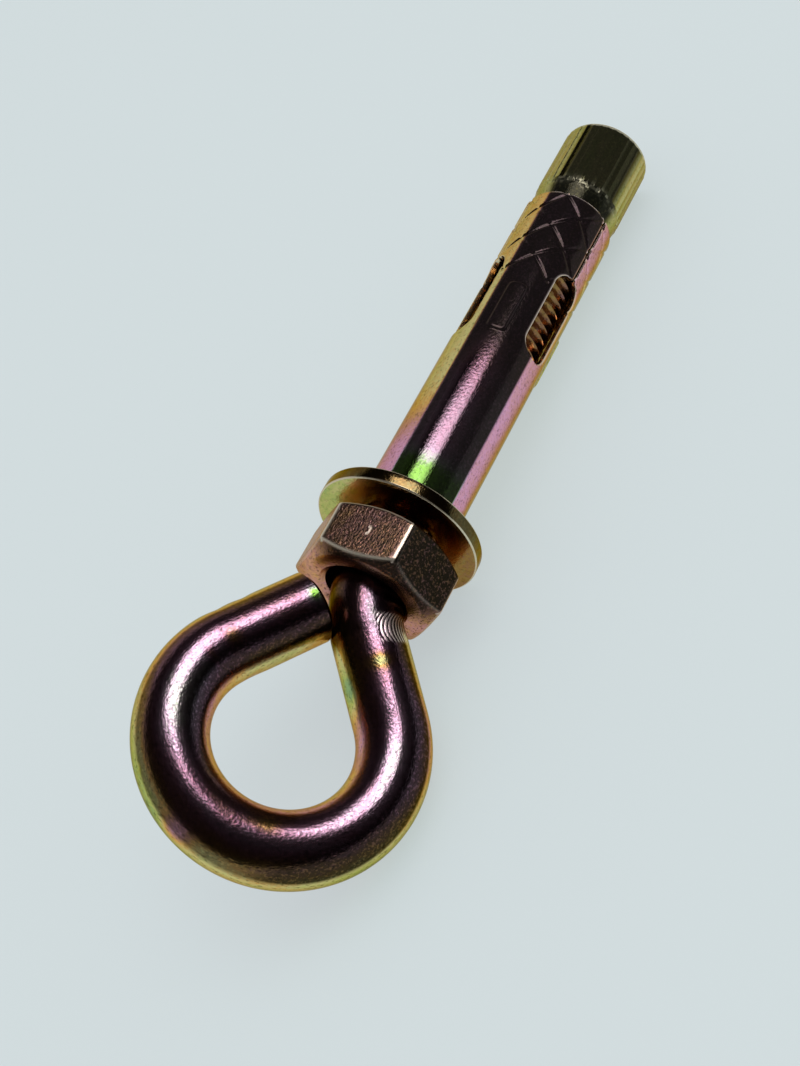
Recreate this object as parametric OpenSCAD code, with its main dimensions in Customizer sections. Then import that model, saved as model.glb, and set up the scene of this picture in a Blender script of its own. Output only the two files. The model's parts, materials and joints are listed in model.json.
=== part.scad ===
// Ring anchor bolt: an eye bolt with nut, washer, slotted sleeve and expander cone, lying on its side.
// It rests on the washer, the cone and the side of the eye, so the bolt axis runs along +X and dips a little.
// The origin is on the axis, at the end of the sleeve that meets the washer. The eye lies toward -X.

/* [Eye bolt] */
// Diameter of the plain rod that forms the eye
rod_d = 8.4; // [7.9:0.1:8.6]
// How much thicker the formed bends of the rod are than its straight lengths
bend_swell = 0.04; // [0.02:0.01:0.1]
// Outside diameter of the thread on the shank
thread_d = 9.8; // [9.6:0.05:9.9]
// Radius of the eye along the middle of the rod
eye_r = 12.1; // [11.5:0.1:13]
// Distance from the origin back to the centre of the eye
eye_back = 32.05; // [31.9:0.05:33]
// Angle between the axis and the leg that comes from the neck
neck_leg_angle = 40; // [39:0.5:42]
// Angle between the axis and the leg with the free end
free_leg_angle = 33; // [32:0.5:34]
// Length of the straight leg with the free end
free_leg = 10.45; // [9:0.05:10.5]
// Radius of the bend at the neck along the middle of the rod
neck_bend_r = 12; // [10:0.5:12.5]
// Chamfer on the two cut ends of the rod
rod_chamfer = 0.5; // [0.2:0.1:1]
// Length over which the thread runs out into the plain rod
runout = 1; // [0.6:0.1:1.2]
// How far the bolt's end lies inside the cone's end face
bolt_recess = 0.4; // [0.2:0.1:2]

/* [Nut] */
// Width across the flats of the nut
nut_af = 16; // [15.5:0.1:17]
// Height of the nut
nut_h = 7.4; // [6.4:0.1:7.6]
// Diameter of the flat ring left on each face of the nut
nut_face_d = 14.4; // [13.5:0.1:15]
// Angle of the chamfer on the corners
nut_chamfer_angle = 30; // [20:1:35]
// Depth of the countersinks of the nut's thread
nut_sink = 0.6; // [0.3:0.1:0.8]
// Turn of the nut on the bolt, from a corner straight up
nut_turn_at_rest = 7.4; // [0:0.1:60]
// Gap between the nut and the washer
nut_gap = 1.7; // [1:0.1:1.9]

/* [Washer] */
// Outside diameter of the washer
washer_od = 20; // [18:0.5:20.5]
// Hole of the washer
washer_id = 10.5; // [10.3:0.1:11]
// Thickness of the washer
washer_t = 1.7; // [1.4:0.1:2]
// Gap between the washer and the sleeve
washer_gap = 1.6; // [1.55:0.05:1.8]
// Chamfer on the washer's outer edges
washer_edge = 0.2; // [0.1:0.05:0.4]

/* [Sleeve] */
// Outside diameter of the sleeve
sleeve_od = 11.9; // [11.7:0.05:12.2]
// Wall of the sleeve
sleeve_wall = 0.7; // [0.5:0.05:0.8]
// Length of the sleeve
sleeve_len = 50; // [46:0.5:55]
// Distance from the near end of the sleeve to its windows
window_from = 25; // [20:0.5:26]
// Length of a window
window_len = 13.8; // [11:0.2:15]
// Width of a window
window_w = 4.6; // [3.6:0.1:5]
// Turn of the first window round the axis, from straight up to the right
window_turn = 43; // [0:1:120]
// Width of the slits and of the seam
slit_w = 0.3; // [0.2:0.05:0.6]
// Distance from the near end of the sleeve to its raised pads
pad_from = 25.2; // [20:0.1:27]
// Length of a pad
pad_len = 8.2; // [6:0.2:10]
// Width of a pad
pad_w = 2.6; // [2:0.1:3.4]
// Corner radius of a pad
pad_corner = 0.8; // [0.4:0.1:0.9]
// Height of a pad above the sleeve
pad_h = 0.2; // [0.1:0.05:0.25]

/* [Cone] */
// Outside diameter of the cone over its ribs
cone_od = 11.66; // [11.4:0.02:11.7]
// Outside diameter of the cone's small end
cone_small_d = 10.7; // [10.6:0.05:11]
// Gap between the sleeve and the small end of the cone
cone_gap = 0.3; // [0.3:0.05:0.6]
// Length of the tapered part
cone_taper = 3; // [2:0.1:5]
// Whole length of the cone
cone_len = 13.8; // [11:0.2:18]
// Radius of the cone's far edge
cone_edge_r = 0.8; // [0.4:0.1:1]
// Number of ribs round the cone
rib_count = 36; // [24:1:40]
// Depth of the grooves between the ribs
rib_depth = 0.2; // [0.1:0.05:0.25]

/* [Fit] */
// Radial clearance between the thread and the nuts
thread_clearance = 0.06; // [0.03:0.01:0.1]

/* [Hidden] */
$fn = 96;
zinc = [0.66, 0.58, 0.36];
zinc_dark = [0.58, 0.52, 0.36];

rod_r = rod_d / 2;
bend_rod_r = (rod_d + bend_swell) / 2;
thread_r = thread_d / 2;
bore_r = thread_r + thread_clearance;
sleeve_r = sleeve_od / 2;
sleeve_bore_r = sleeve_r - sleeve_wall;

// Stations along the axis, measured from the origin
washer_x = -washer_gap - washer_t;
nut_x = washer_x - nut_gap - nut_h;
cone_x = sleeve_len + cone_gap;
bolt_end_x = cone_x + cone_len - bolt_recess;

// The eye in its own plane: tangent points of the legs, and where the bend of the neck begins
eye_x = -eye_back;
neck_tangent_run = neck_bend_r * tan(neck_leg_angle / 2);
bend_x = eye_x + eye_r / sin(neck_leg_angle) + neck_tangent_run;
neck_leg = eye_r / tan(neck_leg_angle) - neck_tangent_run;

// How far the straight lengths reach into the bends
tuck = 0.3;

// Dip at which the part lies: the rims of the washer and the cone are on the floor
rest_drop = (washer_od - cone_od) / 2;
rest_span = cone_x + cone_len - cone_edge_r + washer_gap + washer_edge;
rest_dip = atan2(rest_drop, rest_span);

// Roll at which it lies: the neck's side of the eye is on the floor too, unless the eye is too small
floor_depth = washer_od / 2 * cos(rest_dip) - (washer_gap + washer_edge) * sin(rest_dip);
eye_lean = min(0.95, (floor_depth + eye_back * sin(rest_dip) - bend_rod_r) / eye_r);
rest_roll = asin(sqrt(pow(eye_lean, 2) - pow(sin(rest_dip), 2)) / cos(rest_dip));

// Puts a shape drawn along +X into the lying pose
module lying() {
    rotate([rest_roll, rest_dip, 0])
        children();
}

// Puts a shape drawn along +Z onto the bolt axis, its base at x
module on_axis(x) {
    lying()
        translate([x, 0, 0])
            rotate([0, 90, 0])
                children();
}

// A straight length of round bar in the plane of the eye, from a point along a direction
module bar_run(p, turn, profile) {
    translate([p[0], p[1], 0])
        rotate([0, 0, turn])
            rotate([0, 90, 0])
                rotate_extrude()
                    polygon(profile);
}

// A bent length of rod in the plane of the eye
module rod_bend(centre, r, from, sweep) {
    translate([centre[0], centre[1], 0])
        rotate([0, 0, from])
            rotate_extrude(angle = sweep)
                translate([r, 0])
                    circle(r = bend_rod_r);
}

module eye_bolt() {
    neck_tangent = [eye_x + eye_r * sin(neck_leg_angle), -eye_r * cos(neck_leg_angle)];
    free_tangent = [eye_x + eye_r * sin(free_leg_angle), eye_r * cos(free_leg_angle)];
    shank = bolt_end_x - bend_x;
    color(zinc)
        lying()
            union() {
                // threaded shank, from the run-out of its thread to the chamfered end
                bar_run([bend_x, 0], 0, [
                    [0, -tuck],
                    [rod_r, -tuck],
                    [rod_r, 0],
                    [thread_r, runout],
                    [thread_r, shank - rod_chamfer],
                    [thread_r - rod_chamfer, shank],
                    [0, shank]
                ]);
                // bend of the neck and the leg that follows it
                rod_bend([bend_x, -neck_bend_r], neck_bend_r, 90, neck_leg_angle);
                bar_run(neck_tangent, neck_leg_angle, [
                    [0, -tuck],
                    [rod_r, -tuck],
                    [rod_r, neck_leg + tuck],
                    [0, neck_leg + tuck]
                ]);
                // round of the eye
                rod_bend([eye_x, 0], eye_r, 90 - free_leg_angle, 180 + free_leg_angle + neck_leg_angle);
                // leg with the free end
                bar_run(free_tangent, -free_leg_angle, [
                    [0, -tuck],
                    [rod_r, -tuck],
                    [rod_r, free_leg - rod_chamfer],
                    [rod_r - rod_chamfer, free_leg],
                    [0, free_leg]
                ]);
            }
}

module hex_nut() {
    nut_r = nut_af / 2 / cos(30);
    flat_r = nut_face_d / 2;
    rise = (nut_r + 1 - flat_r) * tan(nut_chamfer_angle);
    color(zinc_dark)
        on_axis(nut_x)
            difference() {
                intersection() {
                    rotate([0, 0, nut_turn_at_rest])
                        cylinder(r = nut_r, h = nut_h, $fn = 6);
                    rotate_extrude()
                        polygon([
                            [0, 0],
                            [flat_r, 0],
                            [nut_r + 1, rise],
                            [nut_r + 1, nut_h - rise],
                            [flat_r, nut_h],
                            [0, nut_h]
                        ]);
                }
                translate([0, 0, -1])
                    cylinder(r = bore_r, h = nut_h + 2);
                // countersinks of the thread, as long as they are wide
                translate([0, 0, -1])
                    cylinder(r1 = bore_r + nut_sink + 1, r2 = bore_r - 1, h = nut_sink + 2);
                translate([0, 0, nut_h - nut_sink - 1])
                    cylinder(r1 = bore_r - 1, r2 = bore_r + nut_sink + 1, h = nut_sink + 2);
            }
}

module washer() {
    r = washer_od / 2;
    color(zinc)
        on_axis(washer_x)
            rotate_extrude()
                polygon([
                    [washer_id / 2, 0],
                    [r - washer_edge, 0],
                    [r, washer_edge],
                    [r, washer_t - washer_edge],
                    [r - washer_edge, washer_t],
                    [washer_id / 2, washer_t]
                ]);
}

// Turns a shape that points up at the top of the sleeve round the axis, to the right
module round_sleeve(turn) {
    rotate([0, 0, turn + 180])
        children();
}

// Round-ended cutter for one window, with its slit to the far end
module window_cut() {
    r = window_w / 2;
    for (z = [window_from + r, window_from + window_len - r]) {
        translate([sleeve_r - 3, 0, z])
            rotate([0, 90, 0])
                cylinder(r = r, h = 5);
    }
    translate([sleeve_r - 3, -r, window_from + r])
        cube([5, window_w, window_len - window_w]);
    translate([sleeve_r - 3, -slit_w / 2, window_from + window_len - r])
        cube([5, slit_w, sleeve_len]);
}

// Raised pad with rounded corners, a short way into the wall of the sleeve
module pad() {
    half = pad_w / 2 - pad_corner;
    intersection() {
        difference() {
            translate([0, 0, pad_from])
                cylinder(r = sleeve_r + pad_h, h = pad_len);
            translate([0, 0, pad_from - 1])
                cylinder(r = sleeve_r - sleeve_wall / 2, h = pad_len + 2);
        }
        union() {
            translate([sleeve_r - 2, -half, pad_from])
                cube([4, 2 * half, pad_len]);
            translate([sleeve_r - 2, -pad_w / 2, pad_from + pad_corner])
                cube([4, pad_w, pad_len - 2 * pad_corner]);
            for (y = [-half, half]) {
                for (z = [pad_from + pad_corner, pad_from + pad_len - pad_corner]) {
                    translate([sleeve_r - 2, y, z])
                        rotate([0, 90, 0])
                            cylinder(r = pad_corner, h = 4);
                }
            }
        }
    }
}

module sleeve() {
    color(zinc)
        on_axis(0)
            union() {
                difference() {
                    cylinder(r = sleeve_r, h = sleeve_len);
                    translate([0, 0, -1])
                        cylinder(r = sleeve_bore_r, h = sleeve_len + 2);
                    for (k = [0:2]) {
                        round_sleeve(window_turn + 120 * k)
                            window_cut();
                    }
                    // seam of the rolled sheet, in line with the window underneath
                    round_sleeve(window_turn + 120)
                        translate([sleeve_r - 3, -slit_w / 2, -1])
                            cube([5, slit_w, window_from + window_w / 2 + 1]);
                }
                for (k = [0:2]) {
                    round_sleeve(window_turn - 60 + 120 * k)
                        pad();
                }
            }
}

module cone_nut() {
    r = cone_od / 2;
    groove_r = 3 * rib_depth;
    color(zinc_dark)
        on_axis(cone_x)
            difference() {
                rotate_extrude()
                    polygon(concat(
                        [[bore_r, 0], [cone_small_d / 2, 0], [r, cone_taper]],
                        [for (a = [0:15:90])
                            [r - cone_edge_r + cone_edge_r * cos(a), cone_len - cone_edge_r + cone_edge_r * sin(a)]],
                        [[bore_r, cone_len]]
                    ));
                for (k = [0:rib_count - 1]) {
                    rotate([0, 0, 360 / rib_count * k])
                        translate([r - rib_depth + groove_r, 0, -1])
                            cylinder(r = groove_r, h = cone_len + 2, $fn = 24);
                }
            }
}

eye_bolt();
hex_nut();
washer();
sleeve();
cone_nut();
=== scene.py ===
# %% [markdown]
# # Ring anchor bolt
# A sleeve anchor with a closed eye, in yellow zinc plating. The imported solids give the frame: five bodies
# on one bolt axis. Each of them is dressed here by a finer surface worked out with numpy.

# %% Load the frame
import json

import bmesh
import bpy
import numpy as np
from mathutils import Matrix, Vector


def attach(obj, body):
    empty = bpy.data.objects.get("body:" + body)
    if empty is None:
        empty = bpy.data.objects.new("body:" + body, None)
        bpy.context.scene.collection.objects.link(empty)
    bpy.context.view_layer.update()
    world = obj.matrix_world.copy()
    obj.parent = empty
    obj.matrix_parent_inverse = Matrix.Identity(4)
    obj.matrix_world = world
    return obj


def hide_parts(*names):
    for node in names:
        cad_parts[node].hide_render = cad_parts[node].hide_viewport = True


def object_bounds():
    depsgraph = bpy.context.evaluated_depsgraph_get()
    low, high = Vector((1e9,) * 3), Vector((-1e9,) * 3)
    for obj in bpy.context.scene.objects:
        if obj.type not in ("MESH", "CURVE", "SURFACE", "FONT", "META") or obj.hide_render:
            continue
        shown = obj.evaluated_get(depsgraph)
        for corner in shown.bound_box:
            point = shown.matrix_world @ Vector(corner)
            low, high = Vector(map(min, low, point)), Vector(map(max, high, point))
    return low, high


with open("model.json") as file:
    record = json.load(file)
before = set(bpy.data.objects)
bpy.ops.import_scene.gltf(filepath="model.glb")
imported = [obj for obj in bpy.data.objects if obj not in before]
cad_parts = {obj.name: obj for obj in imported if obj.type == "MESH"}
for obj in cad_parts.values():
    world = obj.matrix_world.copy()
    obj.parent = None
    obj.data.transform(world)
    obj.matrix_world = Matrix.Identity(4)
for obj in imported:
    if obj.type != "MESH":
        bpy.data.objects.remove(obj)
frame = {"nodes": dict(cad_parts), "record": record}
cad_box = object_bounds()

print("nodes:", ", ".join(sorted(frame["nodes"])))

# %% [markdown]
# ## The lying pose
# The anchor rests on its washer, its cone and the side of its eye, so its axis dips a little and the eye
# leans. It is easier to work along a straight bolt, so every shape is made in millimetres with X along the
# bolt and Z out of the eye's plane. One matrix then turns the points into the frame. Its columns come from
# the two mounts.

# %% From bolt millimetres to the frame
MM = 0.001
mounts = {mount["name"]: mount for mount in frame["record"]["mounts"]}
bolt_axis = np.array(mounts["wall_hole"]["axis"])
eye_normal = np.array(mounts["eye"]["axis"])
lying = np.column_stack([bolt_axis, np.cross(eye_normal, bolt_axis), eye_normal])


def to_frame(points):
    """Turns points from bolt millimetres into the frame's metres: the lying matrix times each point."""
    return points @ lying.T * MM


dip = np.degrees(np.arcsin(-bolt_axis[2]))
print(f"the axis dips {dip:.2f} degrees toward the cone")

# %% [markdown]
# ## From grids to meshes
# Every shape below is a grid of points, and its faces join neighbours in the grid. A ring of faces closes on
# itself when the last column meets the first. Besides its points each piece keeps two attributes for its
# material: `straight`, the place on the piece as if the bolt were unbent, and three numbers that say how
# thick the film of plating is, how much painted shade darkens it and how far an edge is worn.


# %% Grid helpers
def grid_faces(rows, columns, around=False, closed=False):
    """Four-sided faces between neighbours of a grid; around joins the columns, closed joins the rows."""
    row = np.arange(rows if closed else rows - 1)[:, None]
    column = np.arange(columns if around else columns - 1)[None, :]
    next_row, next_column = (row + 1) % rows, (column + 1) % columns
    corners = [row * columns + column, row * columns + next_column,
               next_row * columns + next_column, next_row * columns + column]
    return np.stack(corners, axis=-1).reshape(-1, 4)


def patch(points, film=0.3, dark=0.0, worn=0.0, straight=None, around=False, closed=False):
    """A grid of points with its faces, its straightened points and its film, painted shade and wear, as flat
    arrays.
    """
    rows, columns = points.shape[:2]
    straight = points if straight is None else straight
    finish = np.stack([np.broadcast_to(value, (rows, columns)) for value in (film, dark, worn)], axis=-1)
    return (points.reshape(-1, 3), grid_faces(rows, columns, around, closed),
            straight.reshape(-1, 3), finish.reshape(-1, 3))


print("a tube of 3 rings of 4 points has", len(grid_faces(3, 4, around=True)), "faces")


# %% From patches to a piece
def make_piece(node, patches, sharp=32.0, merge=0.0):
    """Joins patches into one mesh that stands for a node and rides on its body."""
    starts = np.cumsum([0] + [len(p[0]) for p in patches[:-1]])
    points = to_frame(np.concatenate([p[0] for p in patches]))
    faces = np.concatenate([p[1] + start for p, start in zip(patches, starts)])
    mesh = bpy.data.meshes.new(node + "_surface")
    mesh.from_pydata(points, [], faces)
    for name, index in (("straight", 2), ("finish", 3)):
        layer = mesh.attributes.new(name, "FLOAT_VECTOR", "POINT")
        layer.data.foreach_set("vector", np.concatenate([p[index] for p in patches]).ravel())
    shell = bmesh.new()
    shell.from_mesh(mesh)
    if merge:
        bmesh.ops.remove_doubles(shell, verts=shell.verts, dist=merge * MM)
    bmesh.ops.holes_fill(shell, edges=shell.edges, sides=0)
    bmesh.ops.recalc_face_normals(shell, faces=shell.faces)
    shell.to_mesh(mesh)
    shell.free()
    mesh.shade_smooth()
    mesh.set_sharp_from_angle(angle=np.radians(sharp))
    piece = bpy.data.objects.new(node + "_piece", mesh)
    bpy.context.scene.collection.objects.link(piece)
    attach(piece, node)
    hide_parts(node)
    mesh.calc_loop_triangles()
    print(f"{piece.name}: {len(mesh.loop_triangles)} triangles")
    return piece


# %% Smooth steps and rounds
def ease(low, high, value):
    """Rises smoothly from 0 at low to 1 at high: 3t squared less 2t cubed."""
    t = np.clip((value - low) / (high - low), 0, 1)
    return t * t * (3 - 2 * t)


def bell(value, middle, width):
    """1 at the middle, falling off to both sides like a bell."""
    return np.exp(-((value - middle) / width) ** 2)


def round_axis(along, radius, turn):
    """A point on a round about the bolt: turn is measured from the top toward the neck's side of the eye."""
    along, radius, turn = np.broadcast_arrays(along, radius, turn)
    return np.stack([along, -radius * np.sin(turn), radius * np.cos(turn)], axis=-1)


print(f"a step is {ease(0, 1, 0.5)} halfway, and a bell {bell(1, 0, 1):.2f} one width out")

# %% [markdown]
# ## The eye bolt
# The bolt is one rod: a free end, the round of the eye, a leg, a bend and the threaded shank. It could be a
# bevelled curve, but then no thread could be cut into it. So its centre line is worked out as an array of
# places and headings, and a circle is carried along it, whose radius also depends on the turn round the
# rod. That radius holds the thread, the ridges that the bending tool left beside the nut, and its dents.

# %% Sizes of the eye bolt
rod_r, thread_r, pitch, thread_depth = 4.2, 4.9, 1.5, 0.9
eye_x, eye_r = -32.05, 12.1
neck_angle, free_angle = np.radians(40.0), np.radians(33.0)
free_leg, neck_bend_r = 11.1, 12.0
bolt_end = 63.7
end_chamfer = 0.5
free_rings, eye_rings, neck_rings, bend_rings, shank_rings = 40, 200, 60, 70, 500

neck_run = neck_bend_r * np.tan(neck_angle / 2)
bend_x = eye_x + eye_r / np.sin(neck_angle) + neck_run
neck_leg = eye_r / np.tan(neck_angle) - neck_run
eye_sweep = np.pi + free_angle + neck_angle
print(f"the bend ends {-bend_x:.2f} mm before the sleeve, and the neck's leg is {neck_leg:.2f} mm long")


# %% Centre line of the rod
def straight_run(start, heading, lengths):
    """Places along a straight: the start plus each length times the heading."""
    steps = np.stack([np.cos(heading) * lengths, np.sin(heading) * lengths], axis=-1)
    return np.asarray(start) + steps, np.full(len(lengths), heading)


def round_run(centre, radius, angles, side):
    """Places on an arc: the centre plus the radius at each angle; the heading is square to it."""
    places = np.asarray(centre) + radius * np.stack([np.cos(angles), np.sin(angles)], axis=-1)
    return places, angles + side * np.pi / 2


def rod_line():
    """Free leg, eye, neck leg, bend and shank joined end to end: places, headings and distance along."""
    free_turn = np.pi / 2 - free_angle
    free_tangent = np.array([eye_x + eye_r * np.cos(free_turn), eye_r * np.sin(free_turn)])
    free_end = free_tangent + free_leg * np.array([np.cos(free_angle), -np.sin(free_angle)])
    neck_tangent = [eye_x + eye_r * np.sin(neck_angle), -eye_r * np.cos(neck_angle)]
    bend_angles = np.pi / 2 + neck_angle - np.linspace(0, neck_angle, bend_rings)
    runs = [
        straight_run(free_end, np.pi - free_angle, np.linspace(0, free_leg, free_rings)),
        round_run([eye_x, 0], eye_r, free_turn + np.linspace(0, eye_sweep, eye_rings), 1),
        straight_run(neck_tangent, neck_angle, np.linspace(0, neck_leg, neck_rings)),
        round_run([bend_x, -neck_bend_r], neck_bend_r, bend_angles, -1),
        straight_run([bend_x, 0], 0.0, np.linspace(0, bolt_end - bend_x, shank_rings)),
    ]
    places = np.concatenate([places[1:] for places, _ in runs])
    headings = np.concatenate([headings[1:] for _, headings in runs])
    places = np.concatenate([free_end[None], places])
    headings = np.concatenate([[np.pi - free_angle], headings])
    along = np.concatenate([[0], np.cumsum(np.linalg.norm(np.diff(places, axis=0), axis=1))])
    return places, headings, along + bolt_end - along[-1]


rod_places, rod_headings, rod_along = rod_line()
print(f"rod {rod_along[-1] - rod_along[0]:.1f} mm long, {len(rod_along)} rings")


# %% Marks of the bending tool
free_end_at = rod_along[0]
ridge_at, ridge_reach, ridge_wide = bend_x - 8.75, 2.1, 4.5
ridge_pitch, ridge_height, ridge_bow, ridge_bow_at = 0.47, 0.035, 0.22, bend_x - 9.3
# each dent's place along, its turn, length, width and depth
tool_dents = [
    (free_end_at + 27.2, -1.36, 0.35, 0.16, 0.22), (free_end_at + 10.9, -1.35, 0.9, 0.35, 0.12),
    (free_end_at + 7.6, -1.4, 0.8, 0.35, 0.12), (free_end_at + 9.9, 1.65, 1.1, 0.25, 0.15),
    (free_end_at + 67.6, 1.4, 1.3, 0.22, 0.17),
]


def bending_ridges(along, turn):
    """Ridges beside the nut: where they lie, and a sine of the way round, bowed by the way along squared."""
    way_round = rod_r * turn
    near = 1 - ease(ridge_reach - 0.6, ridge_reach, np.abs(along - ridge_at))
    near = near * ease(-ridge_wide, 0.5 - ridge_wide, way_round) * (1 - ease(-0.3, 0.1, way_round))
    bowed = way_round + ridge_bow * (along - ridge_bow_at) ** 2
    return near, np.sin(bowed * 2 * np.pi / ridge_pitch)


def dent_depth(along, turn):
    """All dents added up: each is its depth times a bell along the rod and a bell round it."""
    return sum(depth * bell(along, at, length) * bell(turn, turn_at, width)
               for at, turn_at, length, width, depth in tool_dents)


print(f"ridges {ridge_pitch} mm apart and {len(tool_dents)} dents")

# %% Radius of the rod, with its thread
run_out_from, run_out_to = bend_x - 7.6, bend_x - 3.0
run_out_height = 0.3


def thread_height(along, turn):
    """Height of a right-hand thread from 0 in the root to 1 on the crest: a flattened triangle wave."""
    wave = 1 - np.abs(2 * ((along / pitch + turn / (2 * np.pi)) % 1) - 1)
    return ease(0.12, 0.95, wave)


def rod_radius(along, turn):
    """Plain rod with the bending tool's marks, then thread past the bend, fading out on the bend's inside."""
    height = thread_height(along, turn)
    threaded = thread_r - thread_depth * (1 - height)
    inside = ease(-0.1, 0.9, -np.sin(turn))
    fading = ease(run_out_from, run_out_to, along) * inside
    near, ridges = bending_ridges(along, turn)
    plain = rod_r + run_out_height * fading * (height - 0.35) + ridge_height * near * ridges
    plain = plain - dent_depth(along, turn)
    share = ease(bend_x - 0.5, bend_x + 1.5, along)
    return plain + (threaded - plain) * share


print(f"thread from {thread_r - thread_depth:.1f} to {thread_r} mm in radius, {pitch} mm a turn")

# %% Film and painted shade of the rod
# each spot's place along, its length, turn, width and change of the film
film_spots = [
    (free_end_at + 1.0, 1.0, 0.0, 0.35, 0.42), (free_end_at + 11.6, 1.2, 0.15, 0.3, -0.34),
    (free_end_at + 14.9, 0.6, 0.2, 0.3, -0.24), (bend_x - 7.0, 3.2, 0.1, 0.3, 0.16),
    (bend_x - 12.6, 0.9, 0.15, 0.35, -0.46), (free_end_at + 40.0, 1.6, 0.3, 0.3, -0.22),
    (bend_x - 14.5, 2.2, 1.3, 0.4, -0.24), (free_end_at + 33.0, 1.5, -1.2, 0.4, 0.36),
]


def rod_film_painted_shade_and_wear(along, turn, heading):
    """Film: rose on top, gold on the rims, green, orange and pale spots; painted shade darkens the upper
    side.
    """
    up, inward = np.cos(turn), np.sin(turn)
    right = -inward * np.cos(heading)
    turned_up = 0.96 * up + 0.28 * inward * np.sin(heading)
    rim_film = 0.20 + 0.09 * inward - 0.09 * np.sin(along / 3.4 + 1.0)
    top_film = 0.66 + 0.08 * np.cos((along - free_end_at - 20) / 6)
    # the rose top and gold rims are partly the film's own colour and partly a painted sheen
    film = rim_film * (1 - up ** 2) + top_film * up ** 2
    for at, length, turn_at, width, change in film_spots:
        film = film + change * bell(along, at, length) * bell(turn, turn_at, width)
    on_shank = ease(bend_x + 2, bend_x + 5, along)
    # painted shade: dark on the upper side and darker still toward one side, dark all round next to the nut,
    # and less dark on the shank
    dark = ease(0.46, 0.58, turned_up) * (0.79 + 0.16 * ease(0.12, 0.35, right))
    dark = np.maximum(dark, 0.88 * ease(bend_x - 10.5, bend_x - 8.5, along)) * (1 - 0.28 * on_shank)
    near, ridges = bending_ridges(along, turn)
    worn = 0.9 * near * ease(-0.2, 0.9, ridges)
    return film * (1 - on_shank) + 0.38 * on_shank, dark, worn


print(len(film_spots), "spots in the rod's film")

# %% The rod's surface
ridges_from, ridges_to = -1.2, 0.05
end_middle, end_round, end_painted_shade = 0.02, 0.93, 0.5
rod_turn = np.concatenate([
    np.linspace(-np.pi, ridges_from, 19, endpoint=False),
    np.linspace(ridges_from, ridges_to, 56, endpoint=False),
    np.linspace(ridges_to, np.pi, 31, endpoint=False),
])[None, :]


def rod_surface():
    """A ring is its place plus the radius times the up and side directions; small rings close the ends."""
    radius = rod_radius(rod_along[:, None], rod_turn)
    from_end = np.minimum(rod_along - rod_along[0], rod_along[-1] - rod_along)[:, None]
    chamfered = np.minimum(radius, radius[[0, -1]].min() - end_chamfer + from_end)
    radius = np.where(from_end < end_chamfer, chamfered, radius)
    order = np.concatenate([[0, 0], np.arange(len(rod_along)), [-1, -1]])
    shrink = np.ones(len(order))
    shrink[[0, -1]] = end_middle
    shrink[[1, -2]] = end_round
    radius = radius[order] * shrink[:, None]
    heading = rod_headings[order][:, None]
    side = radius * np.sin(rod_turn)
    up = radius * np.cos(rod_turn)
    x = rod_places[order, 0][:, None] - side * np.sin(heading)
    y = rod_places[order, 1][:, None] + side * np.cos(heading)
    points = np.stack([x, y, up], axis=-1)
    straight = np.stack([np.broadcast_to(rod_along[order][:, None], up.shape), side, up], axis=-1)
    film, dark, worn = rod_film_painted_shade_and_wear(rod_along[order][:, None], rod_turn, heading)
    # the two end caps get an even, middling painted shade
    dark[[0, 1, -2, -1]] = end_painted_shade
    return patch(points, film, dark, worn, straight, around=True)


eye_bolt = make_piece("eye_bolt", [rod_surface()])

# %% [markdown]
# ## The nut
# A hexagon nut is a hexagon cut by two shallow cones. On a grid of turn and height the radius is the
# smallest of the hexagon and the two cones. A soft smallest, a sum of high powers, rounds the edges between
# them as plating does, which gives the bright line along each edge. Along the edges of one top flat that line
# is also a painted highlight in the wear, and each flat has a painted shade of its own.

# %% Nut sizes and radius
nut_x, nut_h, nut_flat, nut_face_r = -12.4, 7.4, 8.0, 7.2
nut_turn, nut_bore, nut_sink = np.radians(7.4), 4.96, 0.6
nut_slope = 1 / np.tan(np.radians(30.0))
# the six flats in turn: each one's painted shade, and the wear of its edges, which round the top flat on the
# far side from the neck is also a painted highlight
nut_flat_painted_shade = (0.99, 0.1, 0.3, 0.3, 0.1, 0.925)
nut_flat_wear_and_highlight = (0.1, 0.6, 0.5, 0.5, 0.4, 1.35)
edge_power = 52


def soft_least(*lengths):
    """A rounded smallest: the sum of the lengths to a high negative power, taken back to a length."""
    return sum(length ** -edge_power for length in lengths) ** (-1 / edge_power)


def hexagon(turn):
    """Distance from the axis to a hexagon's side: half the width across flats over the cosine."""
    off = (turn - nut_turn) % (np.pi / 3) - np.pi / 6
    return nut_flat / np.cos(off)


def hexagon_rounded(turn):
    """The nearest side of the hexagon and its two neighbours, joined by the soft smallest."""
    off = (turn - nut_turn) % (np.pi / 3) - np.pi / 6
    sides = [nut_flat / np.maximum(np.cos(off + shift), 0.2) for shift in (-np.pi / 3, 0, np.pi / 3)]
    return soft_least(*sides)


print(f"nut {2 * nut_flat} mm across flats, {2 * hexagon_rounded(nut_turn):.2f} mm across rounded corners")

# %% Painted shade and wear of the nut
bore_rows = 3
nick_long, nick_wide, wear_wide = 0.5, 0.28, 0.2
# painted shade of the chamfers and of the two faces
chamfer_painted_shade, face_painted_shade = 0.97, 0.72


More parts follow.
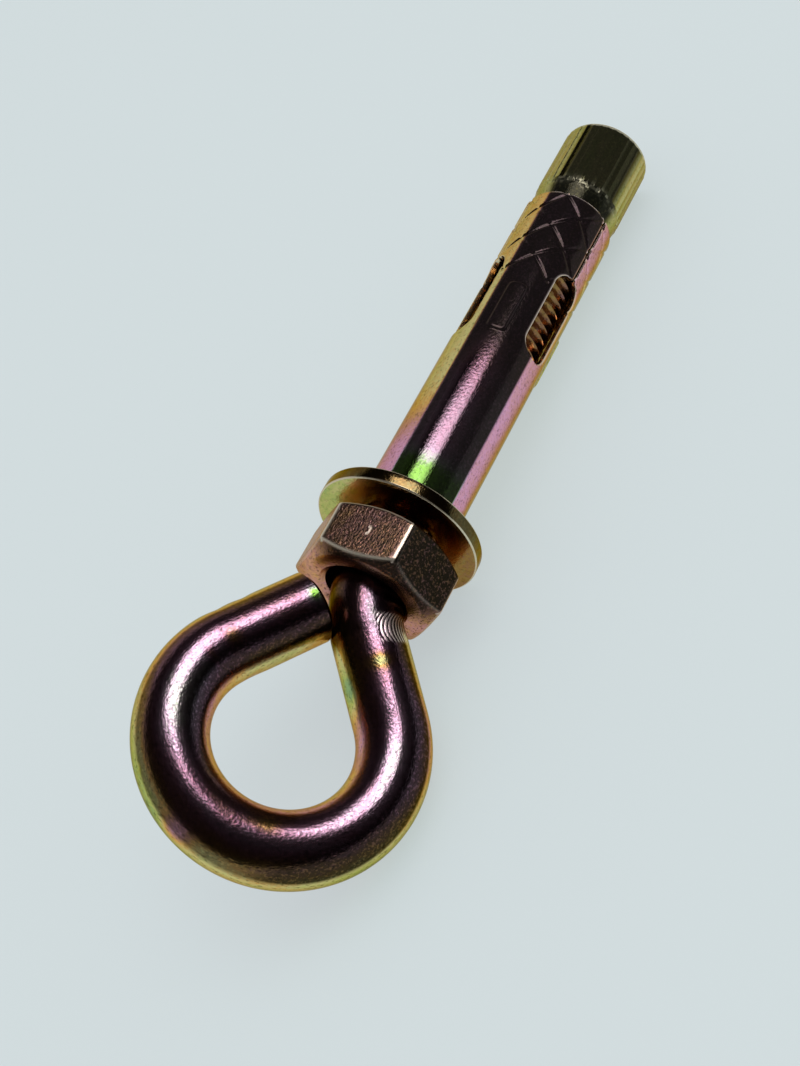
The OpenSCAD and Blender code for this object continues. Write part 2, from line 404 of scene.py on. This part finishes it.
def nut_painted_shade_and_wear(levels, turn, cone):
    """Each flat has its own painted shade and wear; corners, the chamfer's ring and a nick are worn.

    The cone is the smaller of the two chamfer cones for each row of the outside.
    """
    outside = slice(bore_rows, -bore_rows)
    flat = np.floor((turn - nut_turn) / (np.pi / 3)).astype(int) % 6
    corner = np.abs(((turn - nut_turn + np.pi / 6) % (np.pi / 3)) - np.pi / 6) * nut_flat
    across = ((turn - nut_turn + np.pi / 6) % (2 * np.pi)) * nut_flat
    nick = np.hypot((levels - nut_h / 2) / nick_long, across / nick_wide)
    room = cone - hexagon(turn)
    on_sides = cone > nut_flat + 0.6
    worn, on_flat = np.zeros((2, len(levels), turn.size))
    worn[outside] = np.maximum(bell(room, 0, wear_wide), bell(corner, 0, wear_wide) * on_sides)
    # each flat's edge wear; on one top flat it is strong, partly real wear and partly a painted highlight
    worn = np.maximum(worn, 0.5 * bell(nick, 1.0, 0.3)) * np.array(nut_flat_wear_and_highlight)[flat]
    on_flat[outside] = ease(-0.05, 0.12, room)
    chamfer = np.full((len(levels), 1), chamfer_painted_shade)
    chamfer[:bore_rows + 1] = face_painted_shade
    chamfer[-bore_rows - 1:] = face_painted_shade
    # painted shade: the chamfers and faces are dark only toward the top
    chamfer = chamfer * ease(0.1, 0.7, np.cos(turn - 0.15))
    return on_flat * np.array(nut_flat_painted_shade)[flat] + (1 - on_flat) * chamfer, worn


print("darkness of the six flats:", *nut_flat_painted_shade)

# %% The nut's surface
nut_columns, edge_rows, middle_rows = 432, 16, 26
edge_band, middle_from, face_step = 1.5, 1.8, 0.1


def nut_surface():
    """Rows go up the bore, over one face, down the outside and back over the other face."""
    turn = np.linspace(0, 2 * np.pi, nut_columns, endpoint=False)[None, :]
    near = np.linspace(0, edge_band, edge_rows)
    middle = np.linspace(middle_from, nut_h - middle_from, middle_rows)
    heights = np.concatenate([near, middle, nut_h - near[::-1]])[:, None]
    cones = nut_face_r + nut_slope * heights, nut_face_r + nut_slope * (nut_h - heights)
    outside = soft_least(hexagon_rounded(turn) + 0 * heights, cones[0] + 0 * turn, cones[1] + 0 * turn)
    bore = nut_bore + np.array([0, nut_sink, nut_sink + face_step])[:, None] + 0 * turn
    radius = np.concatenate([bore, outside, bore[::-1]])
    levels = np.concatenate([[[nut_sink], [0.0], [0.0]], heights, [[nut_h], [nut_h], [nut_h - nut_sink]]])
    dark, worn = nut_painted_shade_and_wear(levels, turn, np.minimum(*cones))
    return patch(round_axis(nut_x + levels, radius, turn), 0.43, dark, worn, around=True, closed=True)


hex_nut = make_piece("hex_nut", [nut_surface()], sharp=40)

# %% [markdown]
# ## The washer
# A flat washer is punched from sheet, and its outer edges are slightly rolled. A cylinder with a bevel would
# round all its edges alike. Here a closed profile, whose corners are sharper in the bore, is carried round
# the axis.

# %% The washer's surface
washer_x, washer_t, washer_r, washer_bore, washer_edge = -3.3, 1.7, 10.0, 5.25, 0.2
washer_columns = 288


def rounded_corner(centre, radius, start, count=5):
    """A quarter circle in the profile's plane, from a starting angle."""
    angle = start + np.linspace(0, np.pi / 2, count)
    return np.stack([centre[0] + radius * np.cos(angle), centre[1] + radius * np.sin(angle)], axis=-1)


def washer_surface():
    """The profile has two rolled outer corners and two sharper ones in the bore."""
    bore_edge = 0.1
    far, near = washer_x + washer_t, washer_x
    profile = np.concatenate([
        rounded_corner((far - washer_edge, washer_r - washer_edge), washer_edge, 0.0),
        rounded_corner((near + washer_edge, washer_r - washer_edge), washer_edge, np.pi / 2),
        [[near, (washer_r + washer_bore) / 2]],
        rounded_corner((near + bore_edge, washer_bore + bore_edge), bore_edge, np.pi, 3),
        rounded_corner((far - bore_edge, washer_bore + bore_edge), bore_edge, 1.5 * np.pi, 3),
        [[far, (washer_r + washer_bore) / 2]],
    ])
    turn = np.linspace(0, 2 * np.pi, washer_columns, endpoint=False)[None, :]
    # the middles of the two rolled corners are worn
    worn = np.zeros((len(profile), 1))
    worn[[1, 2, 3, 6, 7, 8]] = 0.8
    on_face = (np.arange(len(profile)) > 8)[:, None]
    left = ease(0.2, 0.9, -np.sin(turn))
    film = np.where(on_face, 0.35 - 0.22 * left, 0.29)
    # painted shade: the face is less dark on the left, and the rim is darker on top
    dark = np.where(on_face, 0.55 - 0.4 * left, 0.45 + 0.45 * ease(0.1, 0.8, np.cos(turn)))
    points = round_axis(profile[:, :1], profile[:, 1:], turn)
    return patch(points, film, dark, worn, around=True, closed=True)


washer = make_piece("washer", [washer_surface()])

# %% [markdown]
# ## The sleeve
# The sleeve is a rolled sheet with three round-ended windows, a slit from each to the far end, a raised pad
# between the windows and a diamond pattern pressed into its last third. Cutting windows with booleans leaves
# long thin faces. Here the sheet is three sectors, each a grid whose two sides follow the edge of a window.

# %% Sizes of the sleeve
sleeve_r, sleeve_wall, sleeve_len = 5.95, 0.7, 50.0
window_from, window_len, window_half = 25.0, 13.8, 2.3
window_turn, sector = np.radians(43.0), np.radians(120.0)
slit_half, seam_sector = 0.15, 1
pad_from, pad_len, pad_half, pad_corner, pad_h = 25.2, 8.2, 1.3, 0.8, 0.2
window_to = window_from + window_len


def opening_half(along, seam):
    """Half the opening's width: a round-ended window, then the slit; the seam's half width before it."""
    past = np.maximum(window_from + window_half - along, along - window_to + window_half)
    past = np.clip(past, 0, window_half)
    window = np.sqrt(window_half ** 2 - past ** 2)
    return np.maximum(window, np.where(along > window_from + window_half, slit_half, seam))


print(f"windows from {window_from} to {window_to} mm, then slits {2 * slit_half} mm wide")

# %% Relief on the sleeve
diamond_from, diamond_long, diamond_wide = 35.3, 5.6, np.radians(56.6)
diamond_x, diamond_turn = 49.6, np.radians(-19.0)
groove_depth, groove_half = 0.14, 0.17


def pad_height(along, turn, middle):
    """A raised pad: the distance inside a rounded rectangle, eased into a step."""
    far_x = np.abs(along - pad_from - pad_len / 2) - pad_len / 2 + pad_corner
    far_y = np.abs((turn - middle) * sleeve_r) - pad_half + pad_corner
    outside = np.hypot(np.maximum(far_x, 0), np.maximum(far_y, 0))
    inside = np.minimum(np.maximum(far_x, far_y), 0)
    return pad_h * (1 - ease(-0.3, 0.0, outside + inside - pad_corner))


def groove_depths(along, turn):
    """Two families of slanting lines: the distance to the nearest one, through a bell curve."""
    u = (along - diamond_x) / diamond_long
    v = (turn - diamond_turn) / diamond_wide
    spacing = 1 / np.hypot(1 / diamond_long, 1 / (diamond_wide * sleeve_r))
    near = [np.abs((w + 0.5) % 1 - 0.5) * spacing for w in (u + v, u - v)]
    groove = np.maximum(*[np.exp(-(d / groove_half) ** 2) for d in near])
    return groove_depth * groove * ease(diamond_from - 0.4, diamond_from + 0.3, along)


print(f"pads {pad_h} mm high and grooves {groove_depth} mm deep")


# %% Film and painted shade of the sleeve
def sleeve_finish(along, turn):
    """Film: green to rose on top, rose to yellow along the left and round the right; painted shade on top."""
    turn = (turn + np.pi) % (2 * np.pi) - np.pi
    degrees = np.degrees(turn)
    top = 0.66 + 0.32 * (1 - ease(2.5, 7.0, along)) - 0.10 * ease(12, 22, along)
    left = 0.54 - 0.32 * ease(4.0, 18.0, along) + 0.08 * ease(34, 38, along)
    right = 0.54 - 0.33 * ease(56.0, 84.0, degrees) - 0.06 * ease(20, 30, along)
    # the top band is where painted shade darkens the sleeve, and where its film is partly a painted sheen
    on_top = ease(-45.0, -41.0, degrees) * (1 - ease(38.5, 42.0, degrees))
    film = np.where(degrees < 0, left, right) * (1 - on_top) + top * on_top
    # along the lamp's line the painted shade is thinner, a painted highlight fading toward the far end
    painted_highlight = bell(degrees, -14.0, 16.0) * (1 - ease(18.0, 26.0, along))
    return film, on_top * (0.985 - 0.13 * painted_highlight)


print("film along the top:", *[f"{sleeve_finish(x, 0.0)[0]:.2f}" for x in (0.0, 10.0, window_from)])

# %% One sector of the sleeve
outer_columns, inner_columns = 85, 22
fine_from, coarse_step, fine_step, groove_step = 33.0, 0.32, 0.12, 0.135
edge_drop, edge_reach, edge_wear, wear_reach = 0.13, 0.28, 0.8, 0.14
far_away = 9.0


def sleeve_rows():
    """Places along the sleeve, closer together at rounded ends, pads and grooves."""
    lip = np.array([0, 0.05, 0.12, 0.22, 0.35])
    bow = window_half * (1 - np.cos(np.linspace(0, np.pi / 2, 14)))
    return np.unique(np.round(np.concatenate([
        lip, np.linspace(0.6, window_from, 30), window_from + bow,
        np.arange(window_from + window_half, fine_from, coarse_step),
        np.arange(fine_from, diamond_from, fine_step),
        np.arange(diamond_from, sleeve_len - 0.4, groove_step), window_to - bow, sleeve_len - lip,
    ]), 4))


def sleeve_sector(k, columns):
    """The grid of one sector: turns run from one opening's edge to the next one's."""
    along = sleeve_rows()[:, None]
    sides = [opening_half(along, slit_half if (k + side) % 3 == seam_sector else 0.0) for side in (0, 1)]
    share = np.linspace(0, 1, columns)[None, :]

    def turns(radius):
        """Even turns between the two sides, whose angles are the arc sines of half widths over the radius."""
        first, last = [np.arcsin(side / radius) for side in sides]
        return window_turn + k * sector + first + share * (sector - first - last)

    return along, sides, turns


def sleeve_outside(k):
    """Outer wall: radius plus pad, less grooves and the small round at every edge."""
    along, sides, turns = sleeve_sector(k, outer_columns)
    turn = turns(sleeve_r)
    to_side = np.minimum(np.where(sides[0] > 0, (turn - turn[:, :1]) * sleeve_r, far_away),
                         np.where(sides[1] > 0, (turn[:, -1:] - turn) * sleeve_r, far_away))
    to_edge = np.minimum(to_side, np.minimum(along, sleeve_len - along))
    radius = sleeve_r + pad_height(along, turn, window_turn + (k + 0.5) * sector)
    radius = radius - groove_depths(along, turn if k == 0 else turn - 2 * np.pi)
    radius = radius - edge_drop * (1 - ease(0.0, edge_reach, to_edge))
    return along, radius, turn, edge_wear * bell(to_edge, 0, wear_reach)


print(len(sleeve_rows()), "rows along the sleeve")


# %% The whole sleeve
def sleeve_patches():
    """For each sector an outer wall, an inner wall, two window edges and two end faces."""
    made = []
    for k in range(3):
        along, radius, turn, worn = sleeve_outside(k)
        outer = round_axis(along, radius, turn)
        _, sides, turns = sleeve_sector(k, inner_columns)
        bore = sleeve_r - sleeve_wall
        inner = round_axis(along, bore, turns(bore))
        # the inner wall and the window edges get an even painted shade
        made += [patch(outer, *sleeve_finish(along, turn), worn), patch(inner, 0.25, 0.3)]
        for side, column in ((0, 0), (1, -1)):
            rows = np.flatnonzero(sides[side][:, 0] > 0)
            rows = np.concatenate([rows[:1] - 1, rows]) if rows[0] > 0 else rows
            edge = np.stack([outer[rows, column], inner[rows, column]], axis=1)
            made.append(patch(edge, 0.25, 0.3, np.array([[edge_wear, 0.0]])))
        _, _, fine = sleeve_sector(k, outer_columns)
        rim = round_axis(along, bore, fine(bore))
        made += [patch(np.stack([outer[row], rim[row]])) for row in (0, -1)]
    return made


sleeve = make_piece("sleeve", sleeve_patches(), sharp=38, merge=0.002)

# %% [markdown]
# ## The cone
# The expander at the far end is a short ribbed nut with a taper that slides under the sleeve. Its ribs are
# rolled, so each groove is a shallow part of a circle. Cutting the grooves one by one would be slow, so the
# surface is the smaller of a turned profile and a scalloped outline. Random facets crumple the ends of the
# ribs, where the taper begins.

# %% Sizes of the cone and its ribs
cone_x, cone_len, cone_r, cone_small_r = 50.3, 13.8, 5.83, 5.35
cone_taper, cone_edge, cone_bore = 3.0, 0.8, 4.96
cone_end = cone_x + cone_len
rib_count, rib_depth, groove_r = 36, 0.08, 1.9


def scallop(turn):
    """Distance to a grooved outline: the near side of a circle that dips into the cone's round."""
    reach = cone_r - rib_depth + groove_r
    step = 2 * np.pi / rib_count
    off = (turn + step / 2) % step - step / 2
    room = np.maximum(groove_r ** 2 - (reach * np.sin(off)) ** 2, 0)
    return np.where(room > 0, np.minimum(reach * np.cos(off) - np.sqrt(room), cone_r), cone_r)


print(f"{rib_count} grooves {rib_depth} mm deep, cone from {cone_x} to {cone_end:.1f} mm")

# %% The cone's surface
taper_rows, body_rows, rim_rows, rib_columns = 24, 10, 9, 14
body_from, body_to = cone_x + 3.6, cone_end - 1.2
# length and width of the chamfers at the two ends of the bore
far_sink, near_sink = (0.35, 0.12), (0.3, 0.1)
crumple_at, crumple_reach, crumple_depth = cone_x + cone_taper - 0.5, 0.6, 0.1


def crumpled(along):
    """Squares of random numbers, each on a facet of 3 rows and half a rib, under a bell along the cone."""
    facets = np.random.default_rng(5).random((len(along) // 3 + 1, rib_count * 2))
    facets = np.repeat(np.repeat(facets, 3, axis=0), rib_columns // 2, axis=1)[:len(along)] ** 2
    return facets * bell(along, crumple_at, crumple_reach)


def cone_painted_shade(along, turn):
    """Painted shade: dark on top and darkest on the top of the taper; the end face is left bright."""
    up = np.cos(turn)
    dark = (0.25 + 0.72 * ease(0.62, 0.82, up)) * (along < cone_end - 0.3)
    return dark + (0.995 - dark) * (along < cone_x + cone_taper) * ease(0.5, 0.75, up)


def cone_surface():
    """Rows run along the outside, round the far rim, over the end face and back through the bore."""
    turn = np.linspace(0, 2 * np.pi, rib_count * rib_columns, endpoint=False)[None, :]
    rim = np.linspace(0, np.pi / 2, rim_rows)
    along = np.concatenate([
        [cone_x], cone_x + np.linspace(0.04, cone_taper, taper_rows),
        np.linspace(body_from, body_to, body_rows), cone_end - cone_edge + cone_edge * np.sin(rim),
        [cone_end, cone_end - far_sink[0], cone_x + near_sink[0], cone_x]])[:, None]
    shell = np.concatenate([
        [cone_small_r - 0.06], np.linspace(cone_small_r, cone_r, taper_rows), np.full(body_rows, cone_r),
        cone_r - cone_edge + cone_edge * np.cos(rim)])[:, None]
    crumple = crumpled(along[:len(shell)])
    outside = np.minimum(shell, scallop(turn)) - crumple_depth * crumple
    bore = cone_bore + np.array([far_sink[1], 0, 0, near_sink[1]])[:, None] + 0 * turn
    radius = np.concatenate([outside, bore])
    worn = np.zeros(radius.shape)
    worn[:len(shell)] = 0.2 * crumple
    rim_from = len(shell) - rim_rows + 1
    worn[rim_from:rim_from + 4] = 0.6
    dark = cone_painted_shade(along, turn)
    return patch(round_axis(along, radius, turn), 0.17, dark, worn, around=True, closed=True)


cone_nut = make_piece("cone_nut", [cone_surface()], sharp=45)

# %% [markdown]
# ## Writing shaders as sums
# A node tree for plating needs many small sums. A class that wraps a socket lets them be written as Python
# expressions: each operator adds a Math node, and any other node comes from one method.


# %% A socket that can be added and multiplied
class Socket:
    """An output socket of a node tree; sums of it add Math nodes to the tree."""

    def __init__(self, tree, socket=None):
        self.tree, self.socket = tree, socket

    def node(self, kind, settings=None, inputs=None, output=0):
        """Adds a node: settings first, then a value or a link for each named or numbered input."""
        made = self.tree.nodes.new(kind)
        for name, value in (settings or {}).items():
            if name == "stops":
                self.set_stops(made.color_ramp.elements, value)
            else:
                setattr(made, name, value)
        for name, value in (inputs or {}).items():
            if isinstance(value, Socket):
                self.tree.links.new(value.socket, made.inputs[name])
            else:
                made.inputs[name].default_value = value
        return Socket(self.tree, made.outputs[output] if len(made.outputs) else None)

    @staticmethod
    def set_stops(elements, stops):
        """Gives a colour ramp its places and colours."""
        while len(elements) < len(stops):
            elements.new(0.5)
        for element, (place, colour) in zip(elements, stops):
            element.position = place
            element.color = (*colour, 1.0)

    def math(self, operation, *values):
        """Adds a Math node of this operation."""
        return self.node("ShaderNodeMath", {"operation": operation}, dict(enumerate(values)))

    def __add__(self, other):
        return self.math("ADD", self, other)

    def __sub__(self, other):
        return self.math("SUBTRACT", self, other)

    def __rsub__(self, other):
        return self.math("SUBTRACT", other, self)

    def __mul__(self, other):
        return self.math("MULTIPLY", self, other)

    __radd__, __rmul__ = __add__, __mul__

    def between(self, low, high):
        """0 below low, 1 above high and eased in the range."""
        return self.node("ShaderNodeMapRange", {"interpolation_type": "SMOOTHSTEP"},
                         {"Value": self, "From Min": low, "From Max": high})

    def scaled(self, x, y, z):
        """A vector times three numbers."""
        return self.node("ShaderNodeVectorMath", {"operation": "MULTIPLY"}, {0: self, 1: (x, y, z)})

    def noise(self, scale, detail=2.0, roughness=0.5, warp=0.0):
        """Cloudy noise at this place, about 0.5 on average."""
        return self.node("ShaderNodeTexNoise", None, {
            "Vector": self, "Scale": scale, "Detail": detail, "Roughness": roughness, "Distortion": warp})

    def ramp(self, stops):
        """The colour at this value on a ramp of colours."""
        return self.node("ShaderNodeValToRGB", {"stops": stops}, {"Fac": self})

    def mixed(self, other, share):
        """This colour with a share of another one."""
        return self.node("ShaderNodeMix", {"data_type": "RGBA"}, {0: share, 6: self, 7: other}, output=2)


# %% [markdown]
# ## Yellow zinc plating
# The plating is a thin film on bright zinc, and its colour follows its thickness: green, gold, rose and
# lilac. A picture could carry these colours, but it would stretch over the bend. So three numbers at each
# point give the film's thickness, which is made cloudy and read on a colour ramp, how dark the point is
# painted, a painted shade in place of the dark room mirrored on top, and where an edge is worn down to bare
# zinc. Pits, flecks, drawn lines and a fine bump go over that. All of it follows the place on the piece and
# never the place of the camera.

# %% Plating colours
film_colours = [
    (0.00, (0.36, 0.52, 0.24)), (0.10, (0.60, 0.64, 0.20)), (0.20, (0.80, 0.69, 0.30)),
    (0.32, (0.88, 0.50, 0.16)), (0.44, (0.74, 0.36, 0.28)), (0.58, (0.86, 0.42, 0.62)),
    (0.72, (0.93, 0.62, 0.84)), (0.84, (0.86, 0.84, 0.78)), (0.96, (0.42, 0.86, 0.14)),
]
bare_zinc = (0.92, 0.86, 0.72, 1.0)
# near black for pits and smut, and also the colour that painted shade mixes in
soot_and_shade_black = (0.009, 0.0095, 0.0075, 1.0)
rim_tint = (0.62, 0.49, 0.29, 1.0)
bump_depth = 0.06 * MM
print(len(film_colours), "colours of the film")


# %% The plating's material
def plating(name, cloud, rough, grain, pitted, flecked, drawn, dull=0.0):
    """The film plus clouds is read on the ramp of colours; soot, painted shade and wear go over it.

    Dull is the share of the darkest painted shade that scatters light instead of mirroring it.
    """
    material = bpy.data.materials.new(name)
    material.use_nodes = True
    tree = material.node_tree
    tree.nodes.clear()
    begin = Socket(tree)
    place = begin.node("ShaderNodeAttribute", {"attribute_name": "straight"}, output=1)
    finish = begin.node("ShaderNodeAttribute", {"attribute_name": "finish"}, output=1)
    split = finish.node("ShaderNodeSeparateXYZ", None, {0: finish}).socket.node.outputs
    film, dark, worn = [Socket(tree, split[i]) for i in range(3)]

    clouds = place.scaled(0.35, 1.0, 1.0).noise(0.30, 4.0, 0.6, 0.6)
    fine = place.noise(2.6, 3.0, 0.7)
    colour = (film + cloud * (clouds - 0.5) + 0.22 * (fine - 0.5)).ramp(film_colours)

    speckle = place.scaled(0.6, 1.0, 1.0).noise(4.0, 1.0, 0.6)
    pits = place.scaled(0.7, 1.0, 1.0).noise(3.2, 3.0, 0.7).between(0.55, 0.63)
    lines = place.scaled(0.25, 9.0, 9.0).noise(1.0, 3.0, 0.6)
    smut = place.noise(0.9, 4.0, 0.65).between(0.5, 0.78)
    colour = colour.mixed(soot_and_shade_black, pits * pitted + smut * 0.2)
    flecks = place.noise(3.1, 2.0, 0.7).between(0.5, 0.66)
    # painted shade mixes in the near black, less on worn edges and on flecks
    colour = colour.mixed(soot_and_shade_black, dark * (1 - 0.5 * worn - flecked * flecks))
    colour = colour.mixed(bare_zinc, worn * 0.75)

    roughness = rough + 0.06 * (speckle - 0.5) + 0.04 * smut + 0.25 * worn
    height = drawn * lines + grain * speckle
    bump = height.node("ShaderNodeBump", None, {"Strength": 1.0, "Distance": bump_depth, "Height": height})
    metal = colour.node("ShaderNodeBsdfPrincipled", None, {
        "Base Color": colour, "Metallic": 1 - dull * dark.between(0.88, 0.98), "Roughness": roughness,
        "Normal": bump, "Specular IOR Level": 0.1, "Specular Tint": rim_tint})
    metal.node("ShaderNodeOutputMaterial", None, {"Surface": metal})
    return material


# %% One plating with painted shade for each piece
platings_with_painted_shade = {
    eye_bolt: plating("drawn_rod_plating_painted_shade", cloud=0.5, rough=0.19, grain=0.34, pitted=0.5,
                      flecked=0.12, drawn=0.12),
    hex_nut: plating("nut_plating_painted_shade_and_highlight", cloud=0.35, rough=0.24, grain=0.5, pitted=0.7,
                     flecked=0.13, drawn=0.1),
    washer: plating("washer_plating_painted_shade", cloud=0.45, rough=0.12, grain=0.3, pitted=0.3,
                    flecked=0.06, drawn=0.1),
    sleeve: plating("sleeve_plating_painted_shade_and_highlight", cloud=0.25, rough=0.10, grain=0.24, pitted=0.4,
                    flecked=0.02, drawn=0.12, dull=0.4),
    cone_nut: plating("cone_plating_painted_shade", cloud=0.3, rough=0.10, grain=0.3, pitted=0.3,
                      flecked=0.02, drawn=0.2, dull=0.5),
}
for piece, finish in platings_with_painted_shade.items():
    piece.data.materials.append(finish)
print("finishes:", ", ".join(finish.name for finish in platings_with_painted_shade.values()))

# %% [markdown]
# ## Floor, light and camera
# The anchor lies on a pale sheet in a dark room. The dark ceiling, together with the painted shade on the
# pieces, is what makes the plating look black on top, and the sheet is what its flanks mirror, so for
# reflections the world is pale at the rim and dark above. That room leans with the eye. There are two lamps:
# a panel that only mirrors show, which draws the bright lines on the metal, and a soft box that lights the
# sheet.
# The sheet is a grid with a plain material, and a share of what is seen of it is its own colour.

# %% The pale sheet
floor_z = cad_box[0][2] - 0.00002
floor_half = 1.5
floor_rows = 9
reach = np.linspace(-floor_half, floor_half, floor_rows)
across, deep = np.meshgrid(reach, reach, indexing="ij")
floor_points = np.stack([across, deep, np.full(across.shape, floor_z)], axis=-1)
floor_mesh = bpy.data.meshes.new("pale_sheet")
floor_mesh.from_pydata(floor_points.reshape(-1, 3), [], grid_faces(floor_rows, floor_rows)[:, ::-1])
floor = bpy.data.objects.new("pale_sheet", floor_mesh)
bpy.context.scene.collection.objects.link(floor)
print(f"sheet {2 * floor_half} m wide at z {floor_z / MM:.2f} mm")


# %% The sheet's material
sheet_colour = (0.655, 0.728, 0.742, 1.0)
sheet_glow = 0.66


def pale_sheet():
    """Plain paper; cameras and mirrors see a share of it in its own colour, so its shadows are faint."""
    material = bpy.data.materials.new("pale_sheet")
    material.use_nodes = True
    tree = material.node_tree
    tree.nodes.clear()
    begin = Socket(tree)
    rays = begin.node("ShaderNodeLightPath").socket.node.outputs
    camera_ray, mirror_ray = [Socket(tree, rays[name]) for name in ("Is Camera Ray", "Is Glossy Ray")]
    seen = begin.math("MAXIMUM", camera_ray, mirror_ray)
    paper = begin.node("ShaderNodeBsdfPrincipled", None, {
        "Base Color": sheet_colour, "Roughness": 0.6, "Specular IOR Level": 0.2})
    own = begin.node("ShaderNodeEmission", None, {"Color": sheet_colour, "Strength": 1.0})
    surface = begin.node("ShaderNodeMixShader", None, {0: seen * sheet_glow, 1: paper, 2: own})
    surface.node("ShaderNodeOutputMaterial", None, {"Surface": surface})
    return material


floor_mesh.materials.append(pale_sheet())
print(f"sheet: {sheet_glow:.0%} in its own colour")


# %% The dark room
room_pale, room_rim, room_ceiling = (0.84, 0.85, 0.855, 1.0), (0.55, 0.58, 0.58), (0.010, 0.008, 0.007)


def dark_room():
    """World: pale for the camera and for soft light; reflections see a pale rim and a dark ceiling.

    The ceiling lies along the eye's normal, because the room leans with the eye.
    """
    world = bpy.data.worlds.new("dark_room")
    bpy.context.scene.world = world
    world.use_nodes = True
    tree = world.node_tree
    tree.nodes.clear()
    begin = Socket(tree)
    direction = begin.node("ShaderNodeTexCoord")
    height = begin.node("ShaderNodeVectorMath", {"operation": "DOT_PRODUCT"},
                        {0: direction, 1: tuple(eye_normal)}, output=1)
    ceiling = height.between(0.02, 0.12).ramp([(0.0, room_rim), (1.0, room_ceiling)])
    mirrored = Socket(tree, begin.node("ShaderNodeLightPath").socket.node.outputs["Is Glossy Ray"])
    colour = begin.node("ShaderNodeMix", {"data_type": "RGBA"},
                        {0: mirrored, 6: room_pale, 7: ceiling}, output=2)
    light = colour.node("ShaderNodeBackground", None, {"Color": colour, "Strength": 1.0})
    light.node("ShaderNodeOutputWorld", None, {"Surface": light})


dark_room()
print(f"the room leans {np.degrees(np.arccos(eye_normal[2])):.1f} degrees with the eye")


# %% The camera's and the lamps' aim
def look(at, aim, up):
    """A matrix that looks from a place to an aim: its columns are right, up and back, and the place."""
    at, aim = np.asarray(at), np.asarray(aim)
    back = (at - aim) / np.linalg.norm(at - aim)
    right = np.cross(up, back)
    right = right / np.linalg.norm(right)
    turned = np.eye(4)
    turned[:3, :3] = lying @ np.column_stack([right, np.cross(back, right), back])
    turned[:3, 3] = to_frame(at)
    return Matrix(turned.tolist())


# %% The broad lamp and the soft one
def broad_lamp(name, at, size, radiance):
    """A rectangular lamp that faces the bolt; its watts are pi times its area times its radiance."""
    data = bpy.data.lights.new(name, "AREA")
    data.shape = "RECTANGLE"
    data.size, data.size_y = size[0] * MM, size[1] * MM
    data.energy = np.pi * data.size * data.size_y * radiance
    data.color = (1.0, 0.98, 0.97)
    lamp = bpy.data.objects.new(name, data)
    lamp.matrix_world = look(at, (0, 0, 0), (0, 1, 0))
    bpy.context.scene.collection.objects.link(lamp)
    return lamp


panel = broad_lamp("panel", at=(233, 202, 517), size=(310, 325), radiance=8.0)
panel.visible_diffuse = False
soft = broad_lamp("soft_box", at=(60, 330, 500), size=(500, 500), radiance=0.75)
soft.visible_glossy = False
print(f"lamps: {panel.name} for mirrors, {soft.name} for the sheet")

# %% The camera
camera_at = np.array([-106.3, -0.95, 175.6])
camera_aim = np.array([-2.7, -0.19, 0.0])
camera_up = np.array([0.754, 0.481, 0.447])
camera_data = bpy.data.cameras.new("camera")
camera_data.lens = 59.95
camera_data.sensor_width = 36.0
camera_data.clip_start = 0.005
camera = bpy.data.objects.new("camera", camera_data)
camera.matrix_world = look(camera_at, camera_aim, camera_up)
bpy.context.scene.collection.objects.link(camera)
bpy.context.scene.camera = camera
bpy.context.scene.view_settings.view_transform = "Standard"
print(f"camera {np.linalg.norm(camera_at - camera_aim):.0f} mm away, lens {camera_data.lens:.1f} mm")
